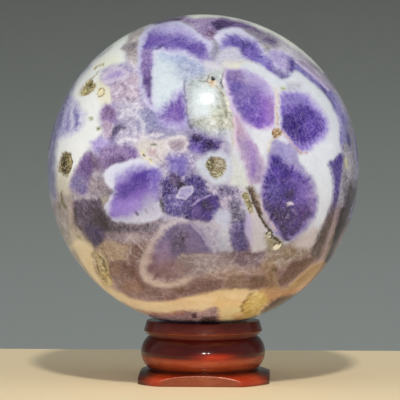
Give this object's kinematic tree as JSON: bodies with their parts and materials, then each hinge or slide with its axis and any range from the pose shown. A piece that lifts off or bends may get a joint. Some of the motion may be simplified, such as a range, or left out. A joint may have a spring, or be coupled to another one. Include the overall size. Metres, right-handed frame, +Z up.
{
  "type": "decorative sphere on stand",
  "caption": "Polished banded amethyst ball resting in the dished collar of a small turned, red-lacquered wooden stand with a squared foot.",
  "frame": {"origin": "centre of the stand's flat underside", "axes": "+Z up through the ball's centre; -Y towards the side that the picture shows, square to one flat of the foot; +X to the right of that side"},
  "size_m": [0.098, 0.098, 0.1151],
  "materials": {
    "amethyst": "polished banded amethyst, purple crystals in white and cream quartz",
    "lacquered_wood": "glossy dark red lacquer over turned wood"
  },
  "bodies": {
    "root": {"ball": "amethyst", "stand": "lacquered_wood"}
  },
  "joints": []
}
